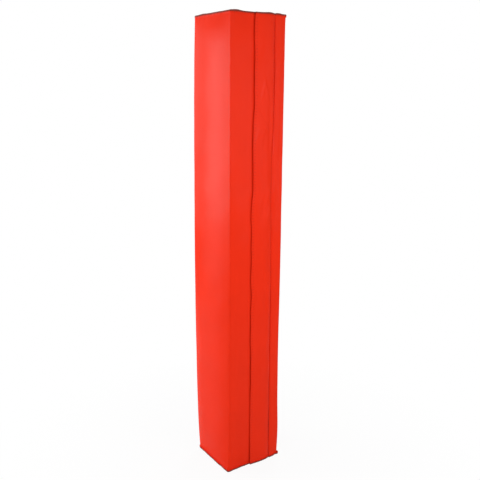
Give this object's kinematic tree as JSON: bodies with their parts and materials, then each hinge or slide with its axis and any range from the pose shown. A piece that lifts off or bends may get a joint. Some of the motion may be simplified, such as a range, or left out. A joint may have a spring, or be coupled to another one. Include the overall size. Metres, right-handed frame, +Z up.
{
  "type": "column pad",
  "caption": "Tall square wrap-round foam pad in red vinyl that closes round a column with a hook and loop flap.",
  "frame": {"origin": "on the column's centre line, on the floor that the pad stands on", "axes": "+X to the right along the face with the flap, +Y from that face through the pad to the back panel, +Z up along the column"},
  "size_m": [0.264, 0.2683, 1.829],
  "materials": {
    "red_vinyl": "satin",
    "red_hem": "satin",
    "red_lining": "matte",
    "pad_foam": "matte",
    "tape_black": "matte"
  },
  "bodies": {
    "back_panel": {"back_foam": "pad_foam", "back_face_sheet": "red_vinyl", "back_pocket_sheet": "red_lining", "back_foot_gusset": "red_vinyl", "back_head_gusset": "red_vinyl", "back_foot_hem": "red_hem", "back_head_hem": "red_hem"},
    "left_panel": {"left_foam": "pad_foam", "left_face_sheet": "red_vinyl", "left_pocket_sheet": "red_lining", "left_foot_gusset": "red_vinyl", "left_head_gusset": "red_vinyl", "left_foot_hem": "red_hem", "left_head_hem": "red_hem", "back_left_fold_web": "red_vinyl"},
    "right_panel": {"right_foam": "pad_foam", "right_face_sheet": "red_vinyl", "right_pocket_sheet": "red_lining", "right_foot_gusset": "red_vinyl", "right_head_gusset": "red_vinyl", "right_foot_hem": "red_hem", "right_head_hem": "red_hem", "back_right_fold_web": "red_vinyl"},
    "front_panel": {"front_foam": "pad_foam", "front_face_sheet": "red_vinyl", "front_pocket_sheet": "red_lining", "front_foot_gusset": "red_vinyl", "front_head_gusset": "red_vinyl", "front_foot_hem": "red_hem", "front_head_hem": "red_hem", "front_left_fold_web": "red_vinyl", "loop_tape": "tape_black"},
    "flap": {"closure_flap": "red_vinyl", "flap_lining": "red_lining", "flap_foot_hem": "red_hem", "flap_head_hem": "red_hem", "hook_tape": "tape_black"}
  },
  "joints": [
    {"name": "back_left_fold", "type": "hinge", "parent": "back_panel", "child": "left_panel", "pos_m": [-0.1254, 0.1254, 0.9095], "axis": [0, 0, -1], "range_deg": [0, 90], "deforming": ["back_left_fold_web"]},
    {"name": "back_right_fold", "type": "hinge", "parent": "back_panel", "child": "right_panel", "pos_m": [0.1254, 0.1254, 0.9095], "axis": [0, 0, 1], "range_deg": [0, 90], "deforming": ["back_right_fold_web"]},
    {"name": "front_left_fold", "type": "hinge", "parent": "left_panel", "child": "front_panel", "pos_m": [-0.1254, -0.1254, 0.9095], "axis": [0, 0, -1], "range_deg": [0, 90], "deforming": ["front_left_fold_web"]},
    {"name": "flap_peel", "type": "hinge", "parent": "right_panel", "child": "flap", "pos_m": [0.0762, -0.127, 0.9095], "axis": [0, 0, 1], "range_deg": [0, 150], "deforming": ["closure_flap", "flap_lining", "flap_foot_hem", "flap_head_hem", "hook_tape"]}
  ]
}
